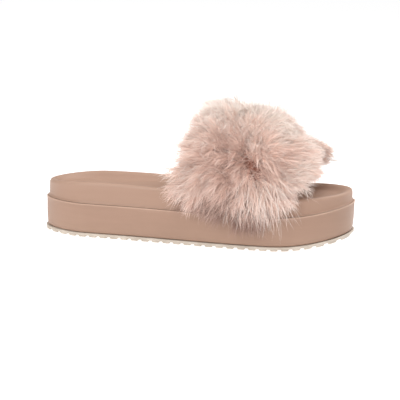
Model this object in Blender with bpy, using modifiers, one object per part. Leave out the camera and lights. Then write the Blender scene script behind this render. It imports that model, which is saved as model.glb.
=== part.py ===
# Flatform slide for the right foot: an open shoe with one feather-covered band over the forefoot.
# Units are metres. +X points to the toe, +Y to the medial side and +Z up.
# The origin is at mid-length, on the underside of the tread rib in the middle of the sole.

import math
import random

import bmesh
import bpy
from mathutils import Matrix, Vector

# Sole outline, seen from above
SOLE_LENGTH = 0.266
LATERAL_HALF_WIDTH = 0.0470
MEDIAL_HALF_WIDTH = 0.0460
HEEL_ROUND_LENGTH = 0.044
HEEL_ROUND_POWER = 2.0
TOE_ROUND_LENGTH = 0.060
TOE_ROUND_POWER = 2.25
TOE_INSWING = 0.004
INSWING_START = 0.45

# Half widths before the ends are rounded off, as shares of the two half widths above
OUTLINE = [
    {"along": 0.00, "lateral": 0.68, "medial": 0.74},
    {"along": 0.13, "lateral": 0.79, "medial": 0.70},
    {"along": 0.30, "lateral": 0.82, "medial": 0.72},
    {"along": 0.45, "lateral": 0.875, "medial": 0.76},
    {"along": 0.60, "lateral": 0.945, "medial": 0.85},
    {"along": 0.72, "lateral": 0.97, "medial": 0.94},
    {"along": 0.84, "lateral": 1.00, "medial": 1.00},
    {"along": 1.00, "lateral": 0.94, "medial": 0.93},
]
SIDE_STEPS = 30

# Heights
TOE_SPRING = 0.0105
SPRING_START = 0.72
TREAD_DEPTH = 0.0015
OUTSOLE_PLATE = 0.0020
PLATFORM_HEEL_HEIGHT = 0.0251
PLATFORM_TOE_HEIGHT = 0.0241
FOOTBED_RIM_HEIGHT = 0.0180
CUP_DEPTH = 0.0062
LAYER_GAP = 0.0003

# Rim height and cup depth along the sole, as shares of the two sizes above
FOOTBED_LEVELS = [
    {"along": 0.00, "rim": 0.75, "cup": 0.62},
    {"along": 0.18, "rim": 0.99, "cup": 1.00},
    {"along": 0.50, "rim": 0.94, "cup": 0.75},
    {"along": 0.72, "rim": 0.86, "cup": 0.78},
    {"along": 0.88, "rim": 0.75, "cup": 0.72},
    {"along": 1.00, "rim": 0.53, "cup": 0.42},
]

# Sides of the three layers
OUTSOLE_PROUD = 0.0004
OUTSOLE_EDGE = 0.0005
PLATFORM_FOOT_INSET = 0.0009
PLATFORM_EDGE = 0.0012
TIER_STEP = 0.0020
RIM_WIDTH = 0.0050
RIM_ROUND = 0.0032
CUP_SLOPE = 0.0100
FLOOR_COLUMNS = 5

# Outer rounding of the rim, up to its crest: shares of the rim's width and of its rounding
RIM_PROFILE = [
    {"inwards": 0.00, "rise": 0.00},
    {"inwards": 0.07, "rise": 0.50},
    {"inwards": 0.24, "rise": 0.87},
    {"inwards": 0.50, "rise": 1.00},
]
# Inner slope of the cup, from the crest down: shares of the slope's width and of the cup's depth
CUP_PROFILE = [
    {"inwards": 0.22, "drop": 0.12},
    {"inwards": 0.45, "drop": 0.42},
    {"inwards": 0.72, "drop": 0.80},
    {"inwards": 1.00, "drop": 0.97},
]

# Tread
TREAD_PITCH = 0.0092
TREAD_RIB_WIDTH = 0.0052

# Band over the forefoot: centres are measured from the heel
STRAP_WALL = 0.0026
STRAP_INSET = 0.0070
STRAP_DEPTH_IN_SOLE = 0.0090
STRAP_LEG_CENTRE = 0.1760
STRAP_LEG_LENGTH = 0.0760
STRAP_CROWN_CENTRE = 0.1830
STRAP_CROWN_LENGTH = 0.0480
STRAP_BACK_RISE = 0.0520
STRAP_FRONT_RISE = 0.0385
STRAP_CROWN_LEAN = 0.0040
STRAP_ARCH_POWER = 2.35
STRAP_ROWS = 8
STRAP_ARCH_COLUMNS = 20
SLOT_CLEARANCE = 0.0003

# Feather pile over the band
PILE_DEPTH = 0.0150
PILE_OVERHANG = 0.0160
PILE_GAP = 0.0003
SKIRT_CLEARANCE = 0.0010
SKIRT_THICKNESS = 0.0110
SKIRT_DROP = 0.0170
LOCK_LENGTH = 0.0250
LOCK_WIDTH = 0.0165
LOCK_THICKNESS = 0.0085
LOCK_ROOT_DEPTH = 0.0070
LOCK_BEND = 0.15
LOCK_SIDES = 5
LOCK_SEED = 11

# The pile from the back of the cover to its front: how far its inner and outer faces stand off
# the band, as shares of the pile's depth, and the skirt's length as a share of its drop
PILE_SECTIONS = [
    {"along": 0.00, "inner": 0.40, "outer": 0.66, "drop": 0.30},
    {"along": 0.10, "inner": 0.10, "outer": 0.92, "drop": 0.70},
    {"along": 0.26, "inner": 0.00, "outer": 1.10, "drop": 1.00},
    {"along": 0.45, "inner": 0.00, "outer": 1.12, "drop": 1.10},
    {"along": 0.64, "inner": 0.00, "outer": 1.04, "drop": 1.05},
    {"along": 0.80, "inner": 0.00, "outer": 0.96, "drop": 0.85},
    {"along": 0.92, "inner": 0.12, "outer": 0.80, "drop": 0.55},
    {"along": 1.00, "inner": 0.38, "outer": 0.58, "drop": 0.25},
]
PILE_STEPS = 12

# Rows of locks, from the back of the pile to its front: how far each leans off the surface
# (0 lies flat, 1 stands up) and how far it turns from hanging down the side towards the toe
LOCK_ROWS = [
    {"along": 0.07, "stand": 0.18, "forward": -0.90, "length": 0.68},
    {"along": 0.20, "stand": 0.30, "forward": -0.60, "length": 0.88},
    {"along": 0.35, "stand": 0.38, "forward": -0.25, "length": 1.00},
    {"along": 0.50, "stand": 0.42, "forward": 0.10, "length": 1.00},
    {"along": 0.65, "stand": 0.36, "forward": 0.45, "length": 1.00},
    {"along": 0.79, "stand": 0.28, "forward": 0.75, "length": 0.88},
    {"along": 0.92, "stand": 0.16, "forward": 0.95, "length": 0.66},
]
LOCKS_PER_ROW = 9
SKIRT_LOCKS = 6
SKIRT_LOCK_REACH = 0.85
SKIRT_LOCK_ROOT = 0.60
SKIRT_LOCK_FAN = 1.2
SKIRT_LOCK_FLARE = 0.12
# Rings of a lock from its root to its tip: shares of its length and of its width
LOCK_STATIONS = [
    {"reach": 0.00, "width": 0.60},
    {"reach": 0.38, "width": 1.00},
    {"reach": 0.74, "width": 0.72},
    {"reach": 1.00, "width": 0.00},
]


def read_table(rows, column, along):
    """Read one column of a table at a share along it, on a smooth curve through its rows."""
    along = min(max(along, rows[0]["along"]), rows[-1]["along"])
    count = len(rows)
    index = 0
    while index < count - 2 and along > rows[index + 1]["along"]:
        index += 1

    def slope(k):
        before = rows[max(k - 1, 0)]
        after = rows[min(k + 1, count - 1)]
        return (after[column] - before[column]) / (after["along"] - before["along"])

    start = rows[index]
    end = rows[index + 1]
    span = end["along"] - start["along"]
    t = (along - start["along"]) / span
    ease = t * t * (3 - 2 * t)
    bend_start = t * (1 - t) ** 2 * span * slope(index)
    bend_end = -t * t * (1 - t) * span * slope(index + 1)
    return start[column] * (1 - ease) + end[column] * ease + bend_start + bend_end


def share_along(x):
    return x / SOLE_LENGTH + 0.5


def place_along(share):
    return (share - 0.5) * SOLE_LENGTH


def rounded_end(distance, length, power):
    reach = 1 - min(distance / length, 1)
    return (1 - reach ** power) ** (1 / power)


def side_reach(share, side):
    """Distance from the centre line to one side of the sole."""
    half_width = LATERAL_HALF_WIDTH if side == "lateral" else MEDIAL_HALF_WIDTH
    full = read_table(OUTLINE, side, share) * half_width
    heel = rounded_end(share * SOLE_LENGTH, HEEL_ROUND_LENGTH, HEEL_ROUND_POWER)
    toe = rounded_end((1 - share) * SOLE_LENGTH, TOE_ROUND_LENGTH, TOE_ROUND_POWER)
    return full * heel * toe


def centre_line(share):
    return TOE_INSWING * max((share - INSWING_START) / (1 - INSWING_START), 0) ** 2


def side_y(share, side):
    reach = side_reach(share, side)
    return centre_line(share) + (reach if side == "medial" else -reach)


def outline_points():
    """The sole's outline: the lateral side from heel to toe, then the medial side back."""
    points = []
    for step in range(SIDE_STEPS + 1):
        share = 0.5 - 0.5 * math.cos(math.pi * step / SIDE_STEPS)
        points.append(Vector((place_along(share), side_y(share, "lateral"))))
    for step in range(SIDE_STEPS - 1, 0, -1):
        share = 0.5 - 0.5 * math.cos(math.pi * step / SIDE_STEPS)
        points.append(Vector((place_along(share), side_y(share, "medial"))))
    return points


def inset_outline(inset):
    """The outline moved inwards by a distance, square to its own direction."""
    points = outline_points()
    count = len(points)
    moved = []
    for index, point in enumerate(points):
        run = (points[(index + 1) % count] - points[index - 1]).normalized()
        moved.append(point + Vector((-run.y, run.x)) * inset)
    return moved


def spring(x):
    """How far the toe end curves up from the floor."""
    return TOE_SPRING * max((share_along(x) - SPRING_START) / (1 - SPRING_START), 0) ** 2


def outsole_top(x):
    return spring(x) + TREAD_DEPTH + OUTSOLE_PLATE


def platform_top(x):
    share = share_along(x)
    height = PLATFORM_HEEL_HEIGHT + (PLATFORM_TOE_HEIGHT - PLATFORM_HEEL_HEIGHT) * share
    return outsole_top(x) + LAYER_GAP + height


def rim_top(x):
    rim = read_table(FOOTBED_LEVELS, "rim", share_along(x)) * FOOTBED_RIM_HEIGHT
    return platform_top(x) + LAYER_GAP + rim


def cup_depth(x):
    return read_table(FOOTBED_LEVELS, "cup", share_along(x)) * CUP_DEPTH


def new_object(name, mesh, colour, roughness, collection):
    thing = bpy.data.objects.new(name, mesh)
    material = bpy.data.materials.new(name)
    material.use_nodes = True
    shader = material.node_tree.nodes["Principled BSDF"]
    shader.inputs["Base Color"].default_value = (*colour, 1)
    shader.inputs["Roughness"].default_value = roughness
    mesh.materials.append(material)
    collection.objects.link(thing)
    return thing


def new_cutter(name, mesh, collection):
    cutter = bpy.data.objects.new(name, mesh)
    cutter.display_type = "WIRE"
    cutter.hide_render = True
    collection.objects.link(cutter)
    return cutter


def finish_mesh(name, form, sharp_angle=35):
    """Turn a bmesh into a mesh with its faces pointing out and its round stretches smooth."""
    bmesh.ops.recalc_face_normals(form, faces=form.faces)
    mesh = bpy.data.meshes.new(name)
    form.to_mesh(mesh)
    form.free()
    mesh.shade_smooth()
    mesh.set_sharp_from_angle(angle=math.radians(sharp_angle))
    return mesh


def add_ring(form, inset, height):
    """One closed ring of the outline, with its height worked out at each point."""
    return [form.verts.new((p.x, p.y, height(p.x))) for p in inset_outline(inset)]


def bridge(form, lower, upper):
    count = len(lower)
    for index in range(count):
        after = (index + 1) % count
        form.faces.new((lower[index], lower[after], upper[after], upper[index]))


def close_across(form, ring, columns, height):
    """Close a ring with strips that run from its lateral points to its medial ones."""
    count = len(ring)
    heel, toe = ring[0], ring[SIDE_STEPS]
    lines = []
    for step in range(1, SIDE_STEPS):
        start, end = ring[step], ring[count - step]
        line = [start]
        for column in range(1, columns):
            point = start.co.lerp(end.co, column / columns)
            line.append(form.verts.new((point.x, point.y, height(point.x))))
        line.append(end)
        lines.append(line)
    for column in range(columns):
        form.faces.new((heel, lines[0][column], lines[0][column + 1]))
        form.faces.new((toe, lines[-1][column + 1], lines[-1][column]))
    for near, far in zip(lines, lines[1:]):
        for column in range(columns):
            form.faces.new((near[column], far[column], far[column + 1], near[column + 1]))


def stack_rings(form, levels):
    rings = [add_ring(form, inset, height) for inset, height in levels]
    for lower, upper in zip(rings, rings[1:]):
        bridge(form, lower, upper)
    return rings


def groove_cutter(collection):
    """The grooves between the tread ribs, each tilted with the toe spring."""
    form = bmesh.new()
    width = TREAD_PITCH - TREAD_RIB_WIDTH
    span = 4 * max(LATERAL_HALF_WIDTH, MEDIAL_HALF_WIDTH)
    count = math.ceil(SOLE_LENGTH / TREAD_PITCH / 2)
    for index in range(-count, count):
        x = (index + 0.5) * TREAD_PITCH
        rise = (spring(x + width / 2) - spring(x - width / 2)) / width
        place = Matrix.Translation((x, 0, spring(x)))
        tilt = Matrix.Rotation(-math.atan(rise), 4, "Y")
        size = Matrix.Diagonal((width, span, 2 * TREAD_DEPTH, 1))
        bmesh.ops.create_cube(form, size=1, matrix=place @ tilt @ size)
    return new_cutter("groove_cutter", finish_mesh("groove_cutter", form), collection)


def make_outsole(parts, cutters):
    form = bmesh.new()
    rings = stack_rings(form, [
        (OUTSOLE_EDGE - OUTSOLE_PROUD, spring),
        (-OUTSOLE_PROUD, lambda x: spring(x) + OUTSOLE_EDGE),
        (-OUTSOLE_PROUD, lambda x: outsole_top(x) - OUTSOLE_EDGE),
        (OUTSOLE_EDGE - OUTSOLE_PROUD, outsole_top),
    ])
    close_across(form, rings[0], 1, spring)
    close_across(form, rings[-1], 1, outsole_top)
    outsole = new_object("outsole", finish_mesh("outsole", form), (0.69, 0.61, 0.53), 0.6, parts)
    grooves = outsole.modifiers.new("tread grooves", "BOOLEAN")
    grooves.operation = "DIFFERENCE"
    grooves.solver = "EXACT"
    grooves.object = groove_cutter(cutters)
    return outsole


def make_platform(parts):
    form = bmesh.new()

    def foot(x):
        return outsole_top(x) + LAYER_GAP

    rings = stack_rings(form, [
        (PLATFORM_FOOT_INSET + PLATFORM_EDGE, foot),
        (PLATFORM_FOOT_INSET, lambda x: foot(x) + PLATFORM_EDGE),
        (0, lambda x: foot(x) + PLATFORM_TOE_HEIGHT / 2),
        (0, lambda x: platform_top(x) - PLATFORM_EDGE),
        (0.3 * PLATFORM_EDGE, lambda x: platform_top(x) - 0.3 * PLATFORM_EDGE),
        (PLATFORM_EDGE, platform_top),
    ])
    close_across(form, rings[0], 1, foot)
    close_across(form, rings[-1], 1, platform_top)
    return new_object("platform", finish_mesh("platform", form), (0.51, 0.34, 0.25), 0.5, parts)


def make_footbed(parts, cutters):
    form = bmesh.new()

    def base(x):
        return platform_top(x) + LAYER_GAP

    def rim_level(rise):
        return lambda x: rim_top(x) - RIM_ROUND * (1 - rise)

    def cup_level(drop):
        return lambda x: rim_top(x) - cup_depth(x) * drop

    levels = [(TIER_STEP, base)]
    for row in RIM_PROFILE:
        crest = TIER_STEP + row["inwards"] * RIM_WIDTH
        levels.append((crest, rim_level(row["rise"])))
    for row in CUP_PROFILE:
        levels.append((crest + row["inwards"] * CUP_SLOPE, cup_level(row["drop"])))
    rings = stack_rings(form, levels)
    close_across(form, rings[0], 1, base)
    close_across(form, rings[-1], FLOOR_COLUMNS, cup_level(1))
    footbed = new_object("footbed", finish_mesh("footbed", form), (0.53, 0.36, 0.27), 0.5, parts)
    for side in ("lateral", "medial"):
        slot = footbed.modifiers.new(side + " slot", "BOOLEAN")
        slot.operation = "DIFFERENCE"
        slot.solver = "EXACT"
        slot.object = slot_cutter(side, cutters)
    return footbed


def strap_x(arch, along):
    """Place along the shoe of a point of the band: its edges draw in towards the crown."""
    crown = math.sin(math.pi * arch)
    centre = STRAP_LEG_CENTRE + (STRAP_CROWN_CENTRE - STRAP_LEG_CENTRE) * crown
    length = STRAP_LEG_LENGTH + (STRAP_CROWN_LENGTH - STRAP_LEG_LENGTH) * crown
    return centre + length * (along - 0.5) - SOLE_LENGTH / 2


def arch_point(arch, along):
    """Outer face of the band. arch runs from 0 at the lateral foot to 1 at the medial foot."""
    x = strap_x(arch, along)
    share = share_along(x)
    lateral = side_y(share, "lateral") + STRAP_INSET
    medial = side_y(share, "medial") - STRAP_INSET
    half = (medial - lateral) / 2
    rise = STRAP_BACK_RISE + (STRAP_FRONT_RISE - STRAP_BACK_RISE) * along
    turn = math.pi * arch
    across = math.copysign(abs(math.cos(turn)) ** (2 / STRAP_ARCH_POWER), -math.cos(turn))
    up = math.sin(turn) ** (2 / STRAP_ARCH_POWER)
    y = (lateral + medial) / 2 + across * half + STRAP_CROWN_LEAN * up
    return Vector((x, y, rim_top(x) + rise * up))


def leg_point(side, depth, along):
    """Outer face of the band below the rim, on one side."""
    point = arch_point(0 if side == "lateral" else 1, along)
    return point - Vector((0, 0, depth))


def arch_turns(columns):
    """Shares round the arch, spaced evenly in angle and clear of its two feet."""
    return [(k + 0.5) / columns for k in range(columns)]


def sheet_mesh(name, lines):
    """An open sheet through equal lines of points."""
    form = bmesh.new()
    grid = [[form.verts.new(point) for point in line] for line in lines]
    for near, far in zip(grid, grid[1:]):
        for index in range(len(near) - 1):
            form.faces.new((near[index], far[index], far[index + 1], near[index + 1]))
    mesh = bpy.data.meshes.new(name)
    form.to_mesh(mesh)
    form.free()
    mesh.shade_smooth()
    return mesh


def strap_lines():
    """Lines of points over the band, from its back edge to its front edge."""
    lines = []
    for row in range(STRAP_ROWS + 1):
        along = row / STRAP_ROWS
        line = [leg_point("lateral", STRAP_DEPTH_IN_SOLE, along), leg_point("lateral", 0, along)]
        line += [arch_point(arch, along) for arch in arch_turns(STRAP_ARCH_COLUMNS)]
        line += [leg_point("medial", 0, along), leg_point("medial", STRAP_DEPTH_IN_SOLE, along)]
        lines.append(line)
    return lines


def thicken(thing, thickness, offset):
    shell = thing.modifiers.new("wall", "SOLIDIFY")
    shell.thickness = thickness
    shell.offset = offset
    shell.use_even_offset = True
    return shell


def make_strap(parts):
    mesh = sheet_mesh("strap", strap_lines())
    strap = new_object("strap", mesh, (0.50, 0.33, 0.26), 0.7, parts)
    thicken(strap, STRAP_WALL, -1)
    return strap


def slot_cutter(side, collection):
    """The space for one end of the band: its own section, wider by the clearance all round."""
    inwards = 1 if side == "lateral" else -1
    lines = []
    for row in range(STRAP_ROWS + 1):
        along = row / STRAP_ROWS
        low = leg_point(side, STRAP_DEPTH_IN_SOLE + SLOT_CLEARANCE, along)
        high = leg_point(side, -STRAP_DEPTH_IN_SOLE, along)
        shift = SLOT_CLEARANCE * (-1 if row == 0 else 1 if row == STRAP_ROWS else 0)
        move = Vector((shift, inwards * STRAP_WALL / 2, 0))
        lines.append([low + move, high + move])
    cutter = new_cutter(side + "_slot_cutter", sheet_mesh(side + "_slot_cutter", lines), collection)
    thicken(cutter, STRAP_WALL + 2 * SLOT_CLEARANCE, 0)
    return cutter


def surface_normal(arch, along):
    """Direction straight off the band's outer face."""
    step = 0.001
    across = arch_point(min(arch + step, 1), along) - arch_point(max(arch - step, 0), along)
    forward = arch_point(arch, along + step) - arch_point(arch, along - step)
    return across.cross(forward).normalized() * -1


def along_band(along_pile):
    """Share along the band for a share along the pile, which overhangs the band at both ends."""
    overhang = PILE_OVERHANG / STRAP_LEG_LENGTH
    return along_pile * (1 + 2 * overhang) - overhang


def pile_point(arch, along_pile, stand_off):
    along = along_band(along_pile)
    return arch_point(arch, along) + surface_normal(arch, along) * (PILE_GAP + stand_off)


def skirt_point(side, along_pile, out, height):
    """A point beside the sole: out is its distance from the sole's side, height is off the rim."""
    arch = 0 if side == "lateral" else 1
    x = strap_x(arch, along_band(along_pile))
    y = side_y(share_along(x), side)
    outwards = -1 if side == "lateral" else 1
    return Vector((x, y + outwards * out, rim_top(x) + height))


def pile_section(along_pile):
    """Inner and outer lines of the pile at one station, from the lateral skirt to the medial one."""
    inner_share = read_table(PILE_SECTIONS, "inner", along_pile)
    outer_share = read_table(PILE_SECTIONS, "outer", along_pile)
    drop = read_table(PILE_SECTIONS, "drop", along_pile) * SKIRT_DROP
    thick = SKIRT_THICKNESS * outer_share
    lift = inner_share * PILE_DEPTH

    def skirt(side):
        inner = [
            skirt_point(side, along_pile, SKIRT_CLEARANCE, -drop),
            skirt_point(side, along_pile, SKIRT_CLEARANCE, SKIRT_CLEARANCE),
            skirt_point(side, along_pile, -STRAP_INSET + PILE_GAP + lift, SKIRT_CLEARANCE),
        ]
        outer = [
            skirt_point(side, along_pile, SKIRT_CLEARANCE + thick / 2, -drop),
            skirt_point(side, along_pile, SKIRT_CLEARANCE + thick, -drop / 2),
            skirt_point(side, along_pile, SKIRT_CLEARANCE + thick, SKIRT_CLEARANCE),
        ]
        return inner, outer

    turns = arch_turns(STRAP_ARCH_COLUMNS)
    near_inner, near_outer = skirt("lateral")
    far_inner, far_outer = skirt("medial")
    inner = near_inner + [pile_point(arch, along_pile, lift) for arch in turns] + far_inner[::-1]
    depth = outer_share * PILE_DEPTH
    outer = near_outer + [pile_point(arch, along_pile, depth) for arch in turns] + far_outer[::-1]
    return inner, outer


def add_lock(form, root, normal, direction, droop, length):
    """A flat tapered tuft that grows from root along direction and bends by droop."""
    side = direction.cross(normal).normalized()
    start = root - direction * LOCK_ROOT_DEPTH
    rings = []
    for station in LOCK_STATIONS:
        reach = station["reach"]
        width = station["width"]
        run = reach * (length + LOCK_ROOT_DEPTH)
        centre = start + direction * run + droop * (reach * reach * length)
        if width == 0:
            rings.append([form.verts.new(centre)])
            continue
        up = side.cross(direction).normalized()
        ring = []
        for index in range(LOCK_SIDES):
            turn = 2 * math.pi * index / LOCK_SIDES
            spread = side * (math.cos(turn) * LOCK_WIDTH / 2 * width)
            rise = up * (math.sin(turn) * LOCK_THICKNESS / 2 * width)
            ring.append(form.verts.new(centre + spread + rise))
        rings.append(ring)
    form.faces.new(rings[0])
    for lower, upper in zip(rings, rings[1:]):
        for index in range(LOCK_SIDES):
            after = (index + 1) % LOCK_SIDES
            if len(upper) == 1:
                form.faces.new((lower[index], lower[after], upper[0]))
            else:
                form.faces.new((lower[index], lower[after], upper[after], upper[index]))


def surface_lock(form, row, arch, along_pile, chance):
    """One lock on the outer face of the pile, leaning down the side and to the front or back."""
    stand_off = read_table(PILE_SECTIONS, "outer", along_pile) * PILE_DEPTH
    root = pile_point(arch, along_pile, stand_off)
    normal = surface_normal(arch, along_band(along_pile))
    downhill = Vector((0, -math.cos(math.pi * arch), -1)).normalized()
    downhill = (downhill - normal * downhill.dot(normal)).normalized()
    flow = downhill * (1 - abs(row["forward"])) + Vector((row["forward"], 0, 0))
    direction = (normal * row["stand"] + flow.normalized()).normalized()
    droop = normal * -LOCK_BEND
    add_lock(form, root, normal, direction, droop, LOCK_LENGTH * row["length"] * chance)


def skirt_lock(form, side, along_pile, chance):
    """One lock that hangs from the skirt over the sole's side."""
    drop = read_table(PILE_SECTIONS, "drop", along_pile)
    thick = SKIRT_THICKNESS * read_table(PILE_SECTIONS, "outer", along_pile)
    out = SKIRT_CLEARANCE + thick * SKIRT_LOCK_ROOT
    root = skirt_point(side, along_pile, out, -drop * SKIRT_DROP * SKIRT_LOCK_ROOT)
    normal = Vector((0, -1 if side == "lateral" else 1, 0))
    fan = SKIRT_LOCK_FAN * (along_pile - 0.5)
    direction = Vector((fan, normal.y * SKIRT_LOCK_FLARE, -1)).normalized()
    length = LOCK_LENGTH * SKIRT_LOCK_REACH * drop * chance
    add_lock(form, root, normal, direction, Vector((0, 0, 0)), length)


def make_locks(collection):
    """All the locks of the pile in one guide, to be fused with it."""
    chance = random.Random(LOCK_SEED)
    form = bmesh.new()
    for number, row in enumerate(LOCK_ROWS):
        stagger = 0.5 if number % 2 else 0.25
        for index in range(LOCKS_PER_ROW):
            arch = (index + stagger + chance.uniform(0, 0.25)) / LOCKS_PER_ROW
            along_pile = row["along"] + chance.uniform(-0.02, 0.02)
            surface_lock(form, row, arch, along_pile, chance.uniform(0.85, 1.15))
    for side in ("lateral", "medial"):
        for index in range(SKIRT_LOCKS):
            along_pile = (index + 0.6 + chance.uniform(-0.15, 0.15)) / SKIRT_LOCKS
            skirt_lock(form, side, along_pile, chance.uniform(0.85, 1.15))
    return new_cutter("lock_guides", finish_mesh("lock_guides", form), collection)


def make_feather_cover(parts, cutters):
    form = bmesh.new()
    sections = []
    for step in range(PILE_STEPS + 1):
        inner, outer = pile_section(step / PILE_STEPS)
        sections.append([form.verts.new(point) for point in inner + outer[::-1]])
    for back, front in zip(sections, sections[1:]):
        bridge(form, back, front)
    for ends in (sections[0], sections[-1]):
        half = len(ends) // 2
        for index in range(half - 1):
            form.faces.new((ends[index], ends[index + 1], ends[-index - 2], ends[-index - 1]))
    mesh = finish_mesh("feather_cover", form)
    cover = new_object("feather_cover", mesh, (0.74, 0.56, 0.49), 0.9, parts)
    locks = cover.modifiers.new("locks", "BOOLEAN")
    locks.operation = "UNION"
    locks.solver = "EXACT"
    locks.use_self = True
    locks.object = make_locks(cutters)
    return cover


def main():
    for thing in list(bpy.data.objects):
        bpy.data.objects.remove(thing)
    parts = bpy.data.collections.new("flatform slide")
    cutters = bpy.data.collections.new("cutters")
    bpy.context.scene.collection.children.link(parts)
    bpy.context.scene.collection.children.link(cutters)
    make_outsole(parts, cutters)
    make_platform(parts)
    make_footbed(parts, cutters)
    make_strap(parts)
    make_feather_cover(parts, cutters)


main()
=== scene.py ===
import math

import bpy
import numpy as np
from mathutils import Matrix, Vector


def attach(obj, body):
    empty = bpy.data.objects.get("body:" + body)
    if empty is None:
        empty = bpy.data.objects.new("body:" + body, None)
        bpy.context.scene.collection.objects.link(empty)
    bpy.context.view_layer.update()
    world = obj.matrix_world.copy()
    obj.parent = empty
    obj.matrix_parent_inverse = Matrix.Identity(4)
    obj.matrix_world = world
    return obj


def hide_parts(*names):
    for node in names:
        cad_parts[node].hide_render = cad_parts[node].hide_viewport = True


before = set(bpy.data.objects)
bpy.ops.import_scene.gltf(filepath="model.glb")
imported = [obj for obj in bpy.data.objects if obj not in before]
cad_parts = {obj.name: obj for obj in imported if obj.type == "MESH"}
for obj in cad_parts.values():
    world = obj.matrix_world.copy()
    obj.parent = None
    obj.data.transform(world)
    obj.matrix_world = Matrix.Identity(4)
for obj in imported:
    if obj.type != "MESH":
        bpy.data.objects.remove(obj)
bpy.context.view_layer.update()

# All lengths are in metres. Heel at -X, toe at +X, the outer side of the right shoe at -Y.

soleShape = {
    "length": 0.266,
    "lateralHalf": 0.0470, "medialHalf": 0.0460,
    "heelRound": 0.044, "heelPower": 2.0,
    "toeRound": 0.060, "toePower": 2.25,
    "toeInswing": 0.004, "inswingStart": 0.45,
    "toeSpring": 0.0105, "springStart": 0.72,
    "sideSteps": 110,
}

# half widths before the ends are rounded off, as shares of the two above
outlineRows = [
    {"along": 0.00, "lateral": 0.68, "medial": 0.74},
    {"along": 0.13, "lateral": 0.79, "medial": 0.70},
    {"along": 0.30, "lateral": 0.82, "medial": 0.72},
    {"along": 0.45, "lateral": 0.875, "medial": 0.76},
    {"along": 0.60, "lateral": 0.945, "medial": 0.85},
    {"along": 0.72, "lateral": 0.97, "medial": 0.94},
    {"along": 0.84, "lateral": 1.00, "medial": 1.00},
    {"along": 1.00, "lateral": 0.94, "medial": 0.93},
]

layerHeights = {
    "tread": 0.0015, "plate": 0.0020, "gap": 0.0003,
    "platformHeel": 0.0251, "platformToe": 0.0241,
    "rim": 0.0180, "cup": 0.0062,
}

# rim height and cup depth along the sole, as shares of the two above
levelRows = [
    {"along": 0.00, "rim": 0.75, "cup": 0.62},
    {"along": 0.18, "rim": 0.99, "cup": 1.00},
    {"along": 0.50, "rim": 0.94, "cup": 0.75},
    {"along": 0.72, "rim": 0.86, "cup": 0.78},
    {"along": 0.88, "rim": 0.75, "cup": 0.72},
    {"along": 1.00, "rim": 0.53, "cup": 0.42},
]

bandShape = {
    "wall": 0.0026, "inset": 0.0070, "depthInSole": 0.0090,
    "legCentre": 0.1760, "legLength": 0.0760,
    "crownCentre": 0.1830, "crownLength": 0.0480,
    "backRise": 0.0520, "frontRise": 0.0385,
    "crownLean": 0.0040, "archPower": 2.35,
}


def smoothTable(rows, column, along):
    keys = np.array([row["along"] for row in rows])
    values = np.array([row[column] for row in rows])
    last = len(rows) - 1
    before = np.maximum(np.arange(last + 1) - 1, 0)
    after = np.minimum(np.arange(last + 1) + 1, last)
    slopes = (values[after] - values[before]) / (keys[after] - keys[before])
    along = np.clip(along, keys[0], keys[-1])
    index = np.clip(np.searchsorted(keys, along, side="right") - 1, 0, last - 1)
    span = keys[index + 1] - keys[index]
    t = (along - keys[index]) / span
    ease = t * t * (3 - 2 * t)
    bend = t * (1 - t) ** 2 * span * slopes[index] - t * t * (1 - t) * span * slopes[index + 1]
    return values[index] * (1 - ease) + values[index + 1] * ease + bend


def shareAlong(x):
    return x / soleShape["length"] + 0.5


def sideReach(share, side):
    half = soleShape["lateralHalf"] if side == "lateral" else soleShape["medialHalf"]
    full = smoothTable(outlineRows, side, share) * half
    fromHeel = 1 - np.minimum(share * soleShape["length"] / soleShape["heelRound"], 1)
    fromToe = 1 - np.minimum((1 - share) * soleShape["length"] / soleShape["toeRound"], 1)
    heel = np.maximum(1 - fromHeel ** soleShape["heelPower"], 0) ** (1 / soleShape["heelPower"])
    toe = np.maximum(1 - fromToe ** soleShape["toePower"], 0) ** (1 / soleShape["toePower"])
    return full * heel * toe


def sideY(share, side):
    start = soleShape["inswingStart"]
    middle = soleShape["toeInswing"] * np.maximum((share - start) / (1 - start), 0) ** 2
    reach = sideReach(np.clip(share, 0, 1), side)
    return middle + (reach if side == "medial" else -reach)


def toeLift(x):
    start = soleShape["springStart"]
    return soleShape["toeSpring"] * np.maximum((shareAlong(x) - start) / (1 - start), 0) ** 2


def plateTop(x):
    return toeLift(x) + layerHeights["tread"] + layerHeights["plate"]


def platformTop(x):
    heel, toe = layerHeights["platformHeel"], layerHeights["platformToe"]
    return plateTop(x) + layerHeights["gap"] + heel + (toe - heel) * shareAlong(x)


def rimTop(x):
    rise = smoothTable(levelRows, "rim", shareAlong(x)) * layerHeights["rim"]
    return platformTop(x) + layerHeights["gap"] + rise


def cupDepth(x):
    return smoothTable(levelRows, "cup", shareAlong(x)) * layerHeights["cup"]


def insetOutline(inset, steps=None):
    steps = steps or soleShape["sideSteps"]
    share = 0.5 - 0.5 * np.cos(np.pi * np.arange(steps + 1) / steps)
    x = (share - 0.5) * soleShape["length"]
    lateral = np.column_stack([x, sideY(share, "lateral")])
    medial = np.column_stack([x, sideY(share, "medial")])[1:-1][::-1]
    ring = np.vstack([lateral, medial])
    run = np.roll(ring, -1, 0) - np.roll(ring, 1, 0)
    run /= np.linalg.norm(run, axis=1)[:, None]
    return ring + np.column_stack([-run[:, 1], run[:, 0]]) * inset


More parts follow.
